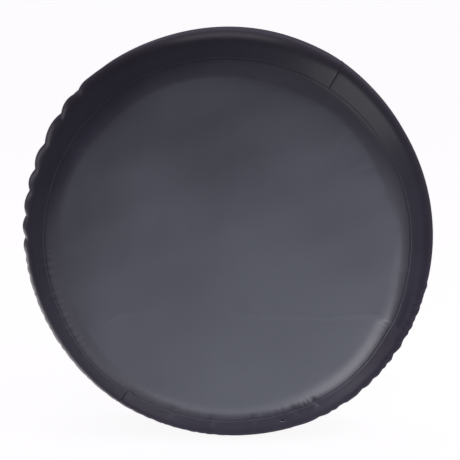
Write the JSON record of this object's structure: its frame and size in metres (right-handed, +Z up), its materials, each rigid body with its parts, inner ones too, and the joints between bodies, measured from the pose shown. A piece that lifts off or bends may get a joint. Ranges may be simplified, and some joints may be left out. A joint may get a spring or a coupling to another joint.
{
  "type": "spare tire cover",
  "caption": "Round cover of black coated cloth for a spare wheel, with a flat front panel, a side band and an elastic rear hem.",
  "frame": {"origin": "centre of the tire that the cover holds, on the wheel's axis", "axes": "+Y along the wheel's axis from the front panel to the open back, +Z up"},
  "size_m": [0.7, 0.215, 0.7],
  "materials": {
    "vinyl": "satin black coated cloth with a fine grain",
    "webbing": "woven black tape and elastic",
    "thread": "black bonded polyester thread",
    "label": "blank off-white satin tape"
  },
  "bodies": {
    "root": {"front_panel": "vinyl", "band_left": "vinyl", "band_right": "vinyl", "front_seam_tape": "webbing", "front_seam_thread": "thread", "front_seam_tape_thread": "thread", "upper_join_tape": "webbing", "lower_join_tape": "webbing", "upper_join_thread": "thread", "lower_join_thread": "thread", "hem_elastic": "webbing", "elastic_join_tack": "thread", "hem_thread": "thread", "hem_bobbin_thread": "thread", "care_label": "label", "care_label_thread": "thread"}
  },
  "joints": []
}
